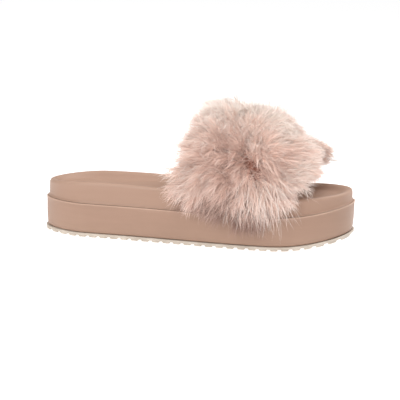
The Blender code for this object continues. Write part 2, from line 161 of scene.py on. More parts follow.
def meshFromArrays(name, verts, quads, tris=None):
    mesh = bpy.data.meshes.new(name)
    mesh.vertices.add(len(verts))
    mesh.vertices.foreach_set("co", np.asarray(verts, dtype=np.float32).ravel())
    loops = quads.ravel()
    starts = np.arange(len(quads)) * 4
    if tris is not None:
        loops = np.concatenate([loops, tris.ravel()])
        starts = np.concatenate([starts, len(quads) * 4 + np.arange(len(tris)) * 3])
    mesh.loops.add(len(loops))
    mesh.loops.foreach_set("vertex_index", loops.astype(np.int32))
    mesh.polygons.add(len(starts))
    mesh.polygons.foreach_set("loop_start", starts.astype(np.int32))
    mesh.update(calc_edges=True)
    mesh.validate()
    thing = bpy.data.objects.new(name, mesh)
    bpy.context.scene.collection.objects.link(thing)
    return thing


def tubeQuads(count, rows):
    # rings of points joined into a tube, with the index of each point
    index = np.arange(count * rows).reshape(count, rows)
    wrapped = np.roll(index, -1, 1)
    return index, np.stack([index[:-1], wrapped[:-1], wrapped[1:], index[1:]], -1).reshape(-1, 4)


def endCaps(index):
    # both ends of a flattened tube, closed between its two halves
    caps = []
    for ring, flip in ((index[0], 1), (index[-1], -1)):
        for step in range(len(ring) // 2 - 1):
            caps.append(np.array([ring[step], ring[step + 1], ring[-2 - step], ring[-1 - step]])[::flip])
    return np.array(caps)


def smoothShade(thing, angle=40):
    thing.data.shade_smooth()
    thing.data.set_sharp_from_angle(angle=math.radians(angle))


def ringLoft(name, levels, floorColumns, floorHeight):
    # levels run from the bottom ring to the innermost top ring
    rings = []
    for inset, height in levels:
        flat = insetOutline(inset)
        rings.append(np.column_stack([flat, height(flat[:, 0])]))
    count = len(rings[0])
    steps = soleShape["sideSteps"]
    verts = list(rings)
    index = np.arange(count)
    after = (index + 1) % count
    quads = []
    for k in range(len(rings) - 1):
        quads.append(np.column_stack([index, after, after + count, index + count]) + k * count)
    tris = []
    used = count * len(rings)
    for ring, columns, height in ((0, 1, None), (len(rings) - 1, floorColumns, floorHeight)):
        near = np.arange(1, steps)
        far = count - near
        start, end = rings[ring][near], rings[ring][far]
        lines = [near + ring * count]
        for column in range(1, columns):
            point = start + (end - start) * column / columns
            point[:, 2] = height(point[:, 0])
            verts.append(point)
            lines.append(used + np.arange(len(point)))
            used += len(point)
        lines.append(far + ring * count)
        flip = -1 if ring == 0 else 1
        for a, b in zip(lines, lines[1:]):
            quads.append(np.column_stack([a[:-1], a[1:], b[1:], b[:-1]])[:, ::flip])
            ends = [[ring * count, a[0], b[0]], [ring * count + steps, b[-1], a[-1]]]
            tris.append(np.array(ends)[:, ::flip])
    thing = meshFromArrays(name, np.vstack(verts), np.vstack(quads), np.vstack(tris))
    smoothShade(thing, 50)
    return thing


def newMaterial(name):
    material = bpy.data.materials.new(name)
    material.use_nodes = True
    return material, material.node_tree.nodes, material.node_tree.links


def feed(links, socket, value):
    if isinstance(value, (int, float)):
        socket.default_value = value
    elif isinstance(value, tuple):
        socket.default_value = (*value, 1)
    elif value is not None:
        links.new(value, socket)


def noiseNode(nodes, links, coords, scale, detail=4, roughness=0.55, stretch=None):
    noise = nodes.new("ShaderNodeTexNoise")
    noise.inputs["Scale"].default_value = scale
    noise.inputs["Detail"].default_value = detail
    noise.inputs["Roughness"].default_value = roughness
    source = coords
    if stretch:
        mapping = nodes.new("ShaderNodeMapping")
        mapping.inputs["Scale"].default_value = stretch
        links.new(coords, mapping.inputs["Vector"])
        source = mapping.outputs["Vector"]
    links.new(source, noise.inputs["Vector"])
    return noise.outputs["Fac"]


def rampNode(nodes, links, source, stops):
    ramp = nodes.new("ShaderNodeValToRGB")
    band = ramp.color_ramp
    while len(band.elements) < len(stops):
        band.elements.new(0.5)
    for element, (position, colour) in zip(band.elements, stops):
        element.position = position
        element.color = (*colour, 1)
    links.new(source, ramp.inputs["Fac"])
    return ramp.outputs["Color"]


def mixColours(nodes, links, factor, first, second):
    mix = nodes.new("ShaderNodeMix")
    mix.data_type = "RGBA"
    for socket, value in zip(("Factor", "A", "B"), (factor, first, second)):
        feed(links, mix.inputs[socket], value)
    return mix.outputs["Result"]


def mathNode(nodes, links, operation, *values, clamp=False):
    node = nodes.new("ShaderNodeMath")
    node.operation = operation
    node.use_clamp = clamp
    for socket, value in zip(node.inputs, values):
        feed(links, socket, value)
    return node.outputs["Value"]


def bumpInto(nodes, links, shader, height, strength, distance):
    bump = nodes.new("ShaderNodeBump")
    bump.inputs["Strength"].default_value = strength
    bump.inputs["Distance"].default_value = distance
    links.new(height, bump.inputs["Height"])
    links.new(bump.outputs["Normal"], shader.inputs["Normal"])


# the edge colour is a painted highlight on sharp edges
foamLook = {
    "sideColour": (0.405, 0.251, 0.181), "sideDark": (0.362, 0.222, 0.158),
    "litTopColour": (0.420, 0.264, 0.193), "edgeHighlightColour": (0.60, 0.42, 0.32), "lipHighlightColour": (0.62, 0.42, 0.32),
    "mottleScale": 28, "streakScale": 60, "streakStretch": (0.25, 0.25, 3.0), "edgeHighlight": 0.35,
    "roughness": 0.48, "roughnessSpread": 0.10, "specular": 0.4,
    "sideGrain": {"scale": 900, "depth": 0.00010}, "topGrain": {"scale": 420, "depth": 0.00016},
    "waveScale": 45, "waveShare": 4.0, "bump": 0.6,
}


def foamMaterial(name, colour, dark, grain):
    material, nodes, links = newMaterial(name)
    shader = nodes["Principled BSDF"]
    coords = nodes.new("ShaderNodeTexCoord").outputs["Object"]
    mottle = noiseNode(nodes, links, coords, foamLook["mottleScale"], 3)
    streak = noiseNode(nodes, links, coords, foamLook["streakScale"], 4, 0.6, foamLook["streakStretch"])
    blend = mathNode(nodes, links, "MULTIPLY", mottle, streak)
    base = rampNode(nodes, links, blend, [(0.10, dark), (0.42, colour)])
    # painted highlight: sharp edges, found by pointiness, are painted paler
    point = nodes.new("ShaderNodeNewGeometry").outputs["Pointiness"]
    edge = rampNode(nodes, links, point, [(0.50, (0, 0, 0)), (0.56, (1, 1, 1))])
    highlightShare = mathNode(nodes, links, "MULTIPLY", edge, foamLook["edgeHighlight"])
    final = mixColours(nodes, links, highlightShare, base, foamLook["edgeHighlightColour"])
    links.new(final, shader.inputs["Base Color"])
    low = foamLook["roughness"] - foamLook["roughnessSpread"]
    high = foamLook["roughness"] + foamLook["roughnessSpread"]
    rough = rampNode(nodes, links, mottle, [(0.3, (low,) * 3), (0.7, (high,) * 3)])
    links.new(rough, shader.inputs["Roughness"])
    fine = noiseNode(nodes, links, coords, grain["scale"], 6, 0.6)
    wave = noiseNode(nodes, links, coords, foamLook["waveScale"], 2)
    height = mathNode(nodes, links, "MULTIPLY_ADD", wave, foamLook["waveShare"], fine)
    bumpInto(nodes, links, shader, height, foamLook["bump"], grain["depth"])
    shader.inputs["Specular IOR Level"].default_value = foamLook["specular"]
    return material


rubberLook = {
    "colour": (0.66, 0.575, 0.49), "dark": (0.54, 0.455, 0.375),
    "mottleScale": 90, "speckScale": 700, "grainDepth": 0.00008, "bump": 0.5, "roughness": 0.62,
}


def rubberMaterial():
    material, nodes, links = newMaterial("creamRubber")
    shader = nodes["Principled BSDF"]
    coords = nodes.new("ShaderNodeTexCoord").outputs["Object"]
    mottle = noiseNode(nodes, links, coords, rubberLook["mottleScale"], 5)
    base = rampNode(nodes, links, mottle, [(0.30, rubberLook["dark"]), (0.62, rubberLook["colour"])])
    links.new(base, shader.inputs["Base Color"])
    shader.inputs["Roughness"].default_value = rubberLook["roughness"]
    grain = noiseNode(nodes, links, coords, rubberLook["speckScale"], 4)
    bumpInto(nodes, links, shader, grain, rubberLook["bump"], rubberLook["grainDepth"])
    return material


outsoleShape = {
    "proud": 0.0004, "edge": 0.0005, "pitch": 0.0092, "rib": 0.0052, "chamfer": 0.0005,
    "lugInset": 0.0006, "lugRound": 0.0004, "lugRise": 0.0003, "plateStep": 0.0001,
    "endSteps": 26, "endTurn": math.pi / 3.2, "endFade": 0.002,
}


def treadStations(half, centres):
    # cross sections at every edge of the ribs, and closer together at the rounded ends
    ribHalf, chamfer = outsoleShape["rib"] / 2, outsoleShape["chamfer"]
    ribEdges = (-ribHalf - chamfer, -ribHalf, ribHalf, ribHalf + chamfer)
    ends = half * np.cos(np.linspace(0, outsoleShape["endTurn"], outsoleShape["endSteps"]))
    stations = np.concatenate([centres + edge for edge in ribEdges] + [ends, -ends])
    return np.unique(np.round(stations[np.abs(stations) <= half], 5))


def makeOutsole():
    # a plate whose underside steps between ribs and grooves, in cross strips along the shoe
    look = outsoleShape
    half = soleShape["length"] / 2 + look["proud"]
    count = math.ceil(half / look["pitch"]) + 1
    centres = np.arange(-count, count + 1) * look["pitch"]
    stations = treadStations(half, centres)
    nearest = np.abs(stations[:, None] - centres[None]).min(1)
    lug = np.clip((look["rib"] / 2 + look["chamfer"] - nearest) / look["chamfer"], 0, 1)
    bottom = toeLift(stations) + layerHeights["tread"] * (1 - lug)
    middle = toeLift(stations) + layerHeights["tread"]
    top = plateTop(stations)
    edge, lugInset = look["edge"], look["lugInset"]
    # height and inset of each line round the side, from the floor up
    wall = [
        (bottom, lugInset + look["lugRound"]), (bottom + look["lugRise"] * lug, lugInset),
        (middle, lugInset * 0.8), (middle + look["plateStep"], 0), (top - edge, 0),
        (top - 0.3 * edge, 0.3 * edge), (top, edge),
    ]
    share = np.clip(shareAlong(stations * (soleShape["length"] / 2) / half), 0, 1)
    fade = np.minimum(1, (half - np.abs(stations)) / look["endFade"])
    lines = []
    for side, out in (("lateral", -1), ("medial", 1)):
        wide = sideY(share, side) + out * look["proud"] * fade
        part = []
        for height, inset in wall:
            part.append(np.column_stack([stations, wide - out * np.minimum(inset, np.abs(wide)), height]))
        lines.append(part)
    grid = np.stack(lines[0] + lines[1][::-1], 1)
    index, quads = tubeQuads(*grid.shape[:2])
    outsole = meshFromArrays("outsolePlate", grid.reshape(-1, 3), np.vstack([quads, endCaps(index)]))
    smoothShade(outsole, 30)
    outsole.data.materials.append(rubberMaterial())
    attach(outsole, "root")
    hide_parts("outsole")
    print("outsole with ribs:", len(stations), "stations")
    return outsole


platformShape = {
    "footInset": 0.0009, "edge": 0.0012, "bellyInset": 0.0001,
    "lipEdge": 0.0008, "lip": 0.00035,
}


def makePlatform():
    def foot(x):
        return plateTop(x) + layerHeights["gap"]

    inset, edge = platformShape["footInset"], platformShape["edge"]
    lip, bead = platformShape["lip"], platformShape["lipEdge"]
    low = layerHeights["platformToe"] / 2
    levels = [
        (inset + edge, foot),
        (inset + 0.35 * edge, lambda x: foot(x) + 0.25 * edge),
        (inset + 0.08 * edge, lambda x: foot(x) + 0.6 * edge),
        (inset, lambda x: foot(x) + edge),
        (0.45 * inset, lambda x: foot(x) + 0.5 * low),
        (platformShape["bellyInset"], lambda x: foot(x) + low),
        (0, lambda x: platformTop(x) - 4.0 * bead),
        (-0.3 * lip, lambda x: platformTop(x) - 2.2 * bead),
        (-lip, lambda x: platformTop(x) - 1.1 * bead),
        (-0.8 * lip, lambda x: platformTop(x) - 0.6 * bead),
        (0.1 * bead, lambda x: platformTop(x) - 0.25 * bead),
        (0.45 * bead, lambda x: platformTop(x) - 0.05 * bead),
        (bead, platformTop),
    ]
    platform = ringLoft("platformTier", levels, 1, None)
    # the moulded lip is painted paler than the side, a painted highlight along the rounded ridge
    look, grain = foamLook, foamLook["sideGrain"]
    platform.data.materials.append(foamMaterial("platformFoam", look["sideColour"], look["sideDark"], grain))
    platform.data.materials.append(foamMaterial("platformLipHighlight", look["lipHighlightColour"], look["sideColour"], grain))
    for face in platform.data.polygons:
        drop = float(platformTop(face.center.x)) - face.center.z
        if 0.05 * bead < drop < 1.5 * bead:
            face.material_index = 1
    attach(platform, "root")
    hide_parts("platform")
    print("platform tier")
    return platform


footbedShape = {
    "tierStep": 0.0020, "rimWidth": 0.0050, "rimRound": 0.0032, "cupSlope": 0.0100, "floorColumns": 16,
    "cove": [(0.42, 0.0), (0.45, 0.0002), (0.62, 0.0005), (0.84, 0.0011), (1.0, 0.0022)],
}

rimRows = [
    {"along": 0.00, "inwards": 0.00, "rise": 0.00},
    {"along": 0.18, "inwards": 0.025, "rise": 0.28},
    {"along": 0.35, "inwards": 0.07, "rise": 0.52},
    {"along": 0.55, "inwards": 0.15, "rise": 0.75},
    {"along": 0.75, "inwards": 0.27, "rise": 0.91},
    {"along": 0.90, "inwards": 0.39, "rise": 0.98},
    {"along": 1.00, "inwards": 0.50, "rise": 1.00},
]
cupRows = [
    {"inwards": 0.10, "drop": 0.03}, {"inwards": 0.22, "drop": 0.12}, {"inwards": 0.34, "drop": 0.26},
    {"inwards": 0.46, "drop": 0.43}, {"inwards": 0.58, "drop": 0.61}, {"inwards": 0.70, "drop": 0.77},
    {"inwards": 0.82, "drop": 0.89}, {"inwards": 0.92, "drop": 0.95}, {"inwards": 1.00, "drop": 0.975},
]


def makeFootbed():
    def base(x):
        return platformTop(x) + layerHeights["gap"]

    def rimLevel(rise):
        return lambda x: rimTop(x) - footbedShape["rimRound"] * (1 - rise)

    def cupLevel(drop):
        return lambda x: rimTop(x) - cupDepth(x) * drop

    step = footbedShape["tierStep"]
    levels = [(step * inset, lambda x, rise=rise: base(x) + rise) for inset, rise in footbedShape["cove"]]
    for row in rimRows:
        crest = step + row["inwards"] * footbedShape["rimWidth"]
        levels.append((crest, rimLevel(row["rise"])))
    for row in cupRows:
        levels.append((crest + row["inwards"] * footbedShape["cupSlope"], cupLevel(row["drop"])))
    footbed = ringLoft("footbedTier", levels, footbedShape["floorColumns"], cupLevel(1))
    look, grain = foamLook, foamLook["topGrain"]
    # the footbed's foam is painted a little lighter than the platform's, as painted light on the upper tier
    footbed.data.materials.append(foamMaterial("footbedFoam", look["litTopColour"], look["sideColour"], grain))
    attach(footbed, "root")
    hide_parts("footbed")
    print("footbed tier")
    return footbed


def bandX(arch, along):
    crown = np.sin(np.pi * np.clip(arch, 0, 1))
    centre = bandShape["legCentre"] + (bandShape["crownCentre"] - bandShape["legCentre"]) * crown
    length = bandShape["legLength"] + (bandShape["crownLength"] - bandShape["legLength"]) * crown
    return centre + length * (along - 0.5) - soleShape["length"] / 2


def bandPoint(arch, along):
    # outer face of the band; arch runs from 0 at the lateral rim to 1 at the medial rim
    x = bandX(arch, along)
    share = shareAlong(x)
    lateral = sideY(share, "lateral") + bandShape["inset"]
    medial = sideY(share, "medial") - bandShape["inset"]
    half = (medial - lateral) / 2
    rise = bandShape["backRise"] + (bandShape["frontRise"] - bandShape["backRise"]) * along
    turn = np.pi * np.clip(arch, 0, 1)
    power = 2 / bandShape["archPower"]
    across = -np.sign(np.cos(turn)) * np.abs(np.cos(turn)) ** power
    up = np.maximum(np.sin(turn), 0) ** power
    y = (lateral + medial) / 2 + across * half + bandShape["crownLean"] * up
    return np.stack([x, y, rimTop(x) + rise * up], -1)


def unit(vectors):
    return vectors / np.maximum(np.linalg.norm(vectors, axis=-1, keepdims=True), 1e-9)


def bandFrame(arch, along):
    # the band's outward normal, its direction to the toe and its direction round the arch
    step = 0.004
    arch = np.clip(arch, step, 1 - step)
    roundAxis = unit(bandPoint(arch + step, along) - bandPoint(arch - step, along))
    forward = bandPoint(arch, along + step) - bandPoint(arch, along - step)
    normal = unit(np.cross(forward, roundAxis))
    return normal, unit(np.cross(roundAxis, normal)), roundAxis


strapLook = {
    "colour": (0.50, 0.345, 0.275), "dark": (0.40, 0.26, 0.20), "roughness": 0.6,
    "mottleScale": 70, "grainScale": 650, "grainDepth": 0.0002, "bump": 0.5,
    "archCount": 72, "alongCount": 26, "edgeRound": 0.0009,
}


def strapMaterial():
    material, nodes, links = newMaterial("strapLeather")
    shader = nodes["Principled BSDF"]
    coords = nodes.new("ShaderNodeTexCoord").outputs["Object"]
    mottle = noiseNode(nodes, links, coords, strapLook["mottleScale"], 4)
    base = rampNode(nodes, links, mottle, [(0.3, strapLook["dark"]), (0.65, strapLook["colour"])])
    links.new(base, shader.inputs["Base Color"])
    cells = nodes.new("ShaderNodeTexVoronoi")
    cells.inputs["Scale"].default_value = strapLook["grainScale"]
    links.new(coords, cells.inputs["Vector"])
    bumpInto(nodes, links, shader, cells.outputs["Distance"], strapLook["bump"], strapLook["grainDepth"])
    shader.inputs["Roughness"].default_value = strapLook["roughness"]
    return material


def withLegs(face):
    # the two ends of the band go straight down into the slots of the footbed
    low, high = face[:1].copy(), face[-1:].copy()
    for leg in (low, high):
        leg[..., 2] = rimTop(leg[..., 0]) - bandShape["depthInSole"]
    return np.concatenate([low, face, high])


def makeStrap():
    # closed wall through lines of points: outer face one way, inner face back
    arch = (np.arange(strapLook["archCount"]) + 0.5) / strapLook["archCount"]
    along = np.linspace(0, 1, strapLook["alongCount"])
    archGrid, alongGrid = np.meshgrid(arch, along, indexing="ij")
    normal = bandFrame(archGrid, alongGrid)[0]
    fromEdge = np.minimum(along, 1 - along) * bandShape["legLength"]
    taper = np.clip(fromEdge / strapLook["edgeRound"], 0, 1)[None, :, None]
    half = bandShape["wall"] / 2 * np.sqrt(1 - (1 - taper) ** 2)
    middle = bandPoint(archGrid, alongGrid) - normal * bandShape["wall"] / 2
    outerFace, innerFace = withLegs(middle + normal * half), withLegs(middle - normal * half)
    rows, columns = outerFace.shape[:2]
    verts = np.concatenate([outerFace.reshape(-1, 3), innerFace.reshape(-1, 3)])
    index = np.arange(rows * columns).reshape(rows, columns)
    corners = np.stack([index[:-1, :-1], index[1:, :-1], index[1:, 1:], index[:-1, 1:]], -1)
    outerQuads = corners.reshape(-1, 4)
    innerQuads = corners[..., [0, 3, 2, 1]].reshape(-1, 4) + rows * columns
    border = np.concatenate([index[:-1, 0], index[-1, :-1], index[:0:-1, -1], index[0, :0:-1]])
    after = np.roll(border, -1)
    rim = np.column_stack([border, border + rows * columns, after + rows * columns, after])
    strap = meshFromArrays("strapBand", verts, np.vstack([outerQuads, innerQuads, rim]))
    smoothShade(strap, 60)
    strap.data.materials.append(strapMaterial())
    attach(strap, "root")
    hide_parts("strap")
    print("strap band")
    return strap


stitchLook = {
    "colour": (0.70, 0.56, 0.47), "dark": (0.525, 0.42, 0.3525), "twistScale": 1500, "roughness": 0.7,
    "pitch": 0.0036, "threadShare": 0.72, "radius": 0.00028, "sides": 6, "lift": 0.00005,
    "inset": 0.0035, "bandLength": 0.062,
}


def capsule(length, radius, sides):
    ends = [(-0.5, 0.45), (-0.38, 1.0), (0.0, 1.1), (0.38, 1.0), (0.5, 0.45)]
    turn = 2 * np.pi * np.arange(sides) / sides
    ring = np.column_stack([np.zeros(sides), np.cos(turn), np.sin(turn)]) * radius
    verts = np.concatenate([ring * [1, wide, wide] + [place * length, 0, 0] for place, wide in ends])
    index, quads = tubeQuads(len(ends), sides)
    fans = []
    for ring, flip in ((index[0], 1), (index[-1], -1)):
        for k in range(1, sides - 1):
            fans.append(np.array([ring[0], ring[k + 1], ring[k]])[::flip])
    return verts, quads, np.array(fans)


def threadMaterial():
    material, nodes, links = newMaterial("stitchThread")
    shader = nodes["Principled BSDF"]
    coords = nodes.new("ShaderNodeTexCoord").outputs["Object"]
    twist = noiseNode(nodes, links, coords, stitchLook["twistScale"], 2)
    base = rampNode(nodes, links, twist, [(0.3, stitchLook["dark"]), (0.7, stitchLook["colour"])])
    links.new(base, shader.inputs["Base Color"])
    shader.inputs["Roughness"].default_value = stitchLook["roughness"]
    return material


def makeStrapStitches():
    # two sewn rows inside the band, along its back and front edges
    look, pitch = stitchLook, stitchLook["pitch"]
    verts, quads, tris = capsule(pitch * look["threadShare"], look["radius"], look["sides"])
    allVerts, allQuads, allTris = [], [], []
    inset = look["inset"] / look["bandLength"]
    for edgeAlong in (inset, 1 - inset):
        fine = np.linspace(0.03, 0.97, 800)
        path = bandPoint(fine, np.full_like(fine, edgeAlong))
        travelled = np.concatenate([[0], np.cumsum(np.linalg.norm(np.diff(path, axis=0), axis=1))])
        places = np.interp(np.arange(0, travelled[-1], pitch), travelled, fine)
        alongs = np.full_like(places, edgeAlong)
        normals, _, roundAxes = bandFrame(places, alongs)
        centres = bandPoint(places, alongs) - normals * (bandShape["wall"] + look["lift"])
        for centre, normal, roundAxis in zip(centres, normals, roundAxes):
            basis = np.stack([roundAxis, np.cross(normal, roundAxis), normal])
            first = len(allVerts) * len(verts)
            allVerts.append(verts @ basis + centre)
            allQuads.append(quads + first)
            allTris.append(tris + first)
    parts = np.vstack(allVerts), np.vstack(allQuads), np.vstack(allTris)
    stitches = meshFromArrays("strapStitches", *parts)
    smoothShade(stitches, 60)
    stitches.data.materials.append(threadMaterial())
    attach(stitches, "root")
    print("stitches:", len(allVerts))
    return stitches


pileShape = {
    "depth": 0.0150, "overhang": 0.0100, "gap": 0.0003, "lumpHeight": 0.0011,
    "skirtClearance": 0.0010, "skirtThickness": 0.0045, "skirtDrop": 0.0120,
    "footArch": 0.13, "backNarrowing": 0.30, "frontNarrowing": 0.60,
    "steps": 44, "archCount": 60, "seed": 5,
}

pileRows = [
    {"along": 0.00, "inner": 0.28, "outer": 0.34, "drop": 0.30},
    {"along": 0.10, "inner": 0.08, "outer": 0.50, "drop": 0.70},
    {"along": 0.26, "inner": 0.00, "outer": 0.58, "drop": 1.00},
    {"along": 0.45, "inner": 0.00, "outer": 0.60, "drop": 1.10},
    {"along": 0.64, "inner": 0.00, "outer": 0.56, "drop": 1.05},
    {"along": 0.80, "inner": 0.00, "outer": 0.50, "drop": 0.70},
    {"along": 0.92, "inner": 0.10, "outer": 0.42, "drop": 0.35},
    {"along": 1.00, "inner": 0.26, "outer": 0.32, "drop": 0.15},
]

featherLook = {
    "rootColour": (0.72, 0.41, 0.32), "roseColour": (0.90, 0.61, 0.50), "paleColour": (0.95, 0.835, 0.76),
    "tipColour": (0.98, 0.93, 0.88), "roseTip": (0.92, 0.70, 0.61), "mauveShadeTip": (0.44, 0.29, 0.24),
    "mauveShadeColour": (0.29, 0.165, 0.13), "roughness": 0.75, "specular": 0.25,
    "sheen": 0.25, "sheenRoughness": 0.5, "sheenTint": (1.0, 0.93, 0.88),
    "shadowColour": (0.20, 0.085, 0.06), "downShadeColour": (0.48, 0.215, 0.155),
    "downScale": 130, "downRoughness": 0.9, "downDepth": 0.0015, "downBump": 0.8,
}


def featherMaterial():
    # U is a barb's tone from pale to rose, V runs from its root to its tip
    material, nodes, links = newMaterial("marabouBarb")
    shader = nodes["Principled BSDF"]
    uv = nodes.new("ShaderNodeUVMap")
    uv.uv_map = "OFBake"
    split = nodes.new("ShaderNodeSeparateXYZ")
    links.new(uv.outputs["UV"], split.inputs["Vector"])
    tone, along = split.outputs["X"], split.outputs["Y"]
    look = featherLook
    mid = rampNode(nodes, links, tone, [
        (0.05, look["paleColour"]), (0.50, look["roseColour"]), (0.95, look["mauveShadeColour"])])
    tip = rampNode(nodes, links, tone, [
        (0.08, look["tipColour"]), (0.55, look["roseTip"]), (0.98, look["mauveShadeTip"])])
    root = rampNode(nodes, links, tone, [
        (0.05, look["roseColour"]), (0.45, look["rootColour"]), (0.98, look["mauveShadeColour"])])
    pastRoot = mathNode(nodes, links, "MULTIPLY", along, 2.2, clamp=True)
    pastMiddle = mathNode(nodes, links, "SUBTRACT", along, 0.45)
    pastMiddle = mathNode(nodes, links, "MULTIPLY", pastMiddle, 1.9, clamp=True)
    colour = mixColours(nodes, links, pastRoot, root, mid)
    colour = mixColours(nodes, links, pastMiddle, colour, tip)
    links.new(colour, shader.inputs["Base Color"])
    shader.inputs["Roughness"].default_value = look["roughness"]
    shader.inputs["Specular IOR Level"].default_value = look["specular"]
    shader.inputs["Sheen Weight"].default_value = look["sheen"]
    shader.inputs["Sheen Roughness"].default_value = look["sheenRoughness"]
    shader.inputs["Sheen Tint"].default_value = (*look["sheenTint"], 1)
    return material


def downMaterial():
    material, nodes, links = newMaterial("marabouDownShade")
    shader = nodes["Principled BSDF"]
    coords = nodes.new("ShaderNodeTexCoord").outputs["Object"]
    look = featherLook
    tufts = noiseNode(nodes, links, coords, look["downScale"], 6, 0.7)
    # dark rose and near-black, painted as the shade deep between the barbs
    base = rampNode(nodes, links, tufts, [(0.34, look["shadowColour"]), (0.66, look["downShadeColour"])])
    links.new(base, shader.inputs["Base Color"])
    shader.inputs["Roughness"].default_value = look["downRoughness"]
    bumpInto(nodes, links, shader, tufts, look["downBump"], look["downDepth"])
    return material


def alongBand(alongPile):
    overhang = pileShape["overhang"] / bandShape["legLength"]
    return alongPile * (1 + 2 * overhang) - overhang


def narrowAtFeet(arch, along):
    # the pile is narrower where the band goes into the sole
    nearFoot = np.clip(1 - np.minimum(arch, 1 - arch) / pileShape["footArch"], 0, 1)
    narrowing = np.where(along < 0.5, pileShape["backNarrowing"], pileShape["frontNarrowing"])
    return 0.5 + (along - 0.5) * (1 - narrowing * nearFoot)


def skirtPoint(side, alongPile, out, height):
    arch = np.full_like(alongPile, 0.0 if side == "lateral" else 1.0)
    x = bandX(arch, narrowAtFeet(arch, alongBand(alongPile)))
    y = sideY(shareAlong(x), side) + (-out if side == "lateral" else out)
    return np.stack([x, y, rimTop(x) + height], -1)


def makeUndercoat():
    # the dense down next to the band: a closed lumpy shell under the long barbs, coloured dark as painted
    # shade in the gaps between them
    rng = np.random.default_rng(pileShape["seed"])
    alongPile = np.linspace(0, 1, pileShape["steps"] + 1)
    inner = smoothTable(pileRows, "inner", alongPile) * pileShape["depth"]
    outer = smoothTable(pileRows, "outer", alongPile) * pileShape["depth"]
    drop = smoothTable(pileRows, "drop", alongPile) * pileShape["skirtDrop"]
    gap, clear = pileShape["gap"], pileShape["skirtClearance"]
    thick = pileShape["skirtThickness"] * outer / pileShape["depth"]
    skirtInner, skirtOuter = {}, {}
    for side in ("lateral", "medial"):
        skirtInner[side] = [
            skirtPoint(side, alongPile, clear, -drop), skirtPoint(side, alongPile, clear, -drop * 0.5),
            skirtPoint(side, alongPile, clear, clear),
            skirtPoint(side, alongPile, -bandShape["inset"] + gap + inner, clear),
        ]
        skirtOuter[side] = [
            skirtPoint(side, alongPile, clear + thick * 0.4, -drop),
            skirtPoint(side, alongPile, clear + thick * 0.9, -drop * 0.6),
            skirtPoint(side, alongPile, clear + thick, -drop * 0.2),
            skirtPoint(side, alongPile, clear + thick, clear),
        ]
    archInner, archOuter = [], []
    for turn in (np.arange(pileShape["archCount"]) + 0.5) / pileShape["archCount"]:
        turns = np.full_like(alongPile, turn)
        places = narrowAtFeet(turns, alongBand(alongPile))
        point = bandPoint(turns, places)
        normal = bandFrame(turns, places)[0]
        archInner.append(point + normal * (gap + inner)[:, None])
        archOuter.append(point + normal * (gap + outer)[:, None])
    innerGrid = np.stack(skirtInner["lateral"] + archInner + skirtInner["medial"][::-1], 1)
    outerGrid = np.stack(skirtOuter["lateral"] + archOuter + skirtOuter["medial"][::-1], 1)
    lumps = rng.normal(size=outerGrid.shape[:2])
    for _ in range(2):
        beside = np.roll(lumps, 1, 0) + np.roll(lumps, -1, 0) + np.roll(lumps, 1, 1) + np.roll(lumps, -1, 1)
        lumps = (lumps + beside) / 3
    away = unit(outerGrid - outerGrid.mean((0, 1)))
    outerGrid = outerGrid + away * (lumps * pileShape["lumpHeight"])[..., None]
    grid = np.concatenate([innerGrid, outerGrid[:, ::-1]], 1)
    index, quads = tubeQuads(*grid.shape[:2])
    down = meshFromArrays("marabouUndercoat", grid.reshape(-1, 3), np.vstack([quads, endCaps(index)]))
    down.data.shade_smooth()
    down.data.materials.append(downMaterial())
    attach(down, "root")
    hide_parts("feather_cover")
    print("down under the barbs")
    return down


# places that the plumes fall away from: x, share of the arch, how hard they push and how far
whorls = [
    {"x": 0.047, "arch": 0.115, "push": 1.12, "reach": 0.034},
    {"x": 0.012, "arch": 0.120, "push": 0.75, "reach": 0.018},
    {"x": 0.064, "arch": 0.270, "push": 0.60, "reach": 0.020},
    {"x": 0.036, "arch": 0.520, "push": 0.55, "reach": 0.028},
    {"x": 0.050, "arch": 0.860, "push": 1.00, "reach": 0.028},
    {"x": 0.014, "arch": 0.800, "push": 0.70, "reach": 0.020},
    {"x": 0.072, "arch": 0.700, "push": 0.55, "reach": 0.020},
]

# lean towards the toe, length and hang of the plumes from the back edge to the front edge
leanRows = [
    {"along": 0.00, "forward": -0.85, "fall": 0.70, "stand": 0.86, "length": 0.90, "skirt": 0.30},
    {"along": 0.20, "forward": -0.55, "fall": 0.70, "stand": 0.98, "length": 0.97, "skirt": 0.35},
    {"along": 0.45, "forward": -0.05, "fall": 0.60, "stand": 1.00, "length": 1.00, "skirt": 0.40},
    {"along": 0.64, "forward": 0.15, "fall": 0.55, "stand": 0.74, "length": 0.98, "skirt": 0.95},
    {"along": 0.76, "forward": 0.60, "fall": 0.05, "stand": 0.48, "length": 0.88, "skirt": 0.05},
    {"along": 1.00, "forward": 1.20, "fall": -0.60, "stand": 0.28, "length": 0.76, "skirt": -0.20},
]

plumeShape = {
    "length": 0.0235, "stand": 0.95, "sweep": 0.80, "droop": 0.45, "curl": 0.10, "guidePoints": 8,
    "archLength": 0.150, "jitter": 0.22, "eyeShortening": 0.15,
    "tuftLean": 0.42, "tuftLength": 0.13, "tuftTone": 0.09,
    "skirtArch": 0.075, "skirtHang": 1.15, "skirtLength": 0.25,
    "lobeArch": 0.28, "lobeWidth": 0.12, "lobeForward": 0.50, "lobeLength": 0.26,
    "cornerArch": 0.08, "cornerWidth": 0.06, "cornerLength": 0.34,
}

# share of rose and mauve in the colour, from 0 pale to 1 dark; the mauve at the feet is partly the feathers'
# own colour and partly painted shade
toneShares = {
    # lobe darkens the tone of the front lobes as painted shade
    "least": 0.08, "side": 0.48, "foot": 0.85, "lobe": 0.22,
    "plumeSpread": 0.07, "barbSpread": 0.07,
}

barbShape = {
    "perPlume": 40, "points": 4,
    "width": 0.00027, "tipWidth": 0.00006, "splay": 46, "splayAtTip": 28, "share": 0.82, "shareAtTip": 0.48,
    "outOfPlane": 0.34, "droop": 0.35, "wave": 0.22, "roll": 0.65, "facingSpread": 0.55, "rootShare": 0.62,
    "soleGap": (0.0008, 0.0070), "lowest": 0.0015, "highestWisp": 0.1262,
}


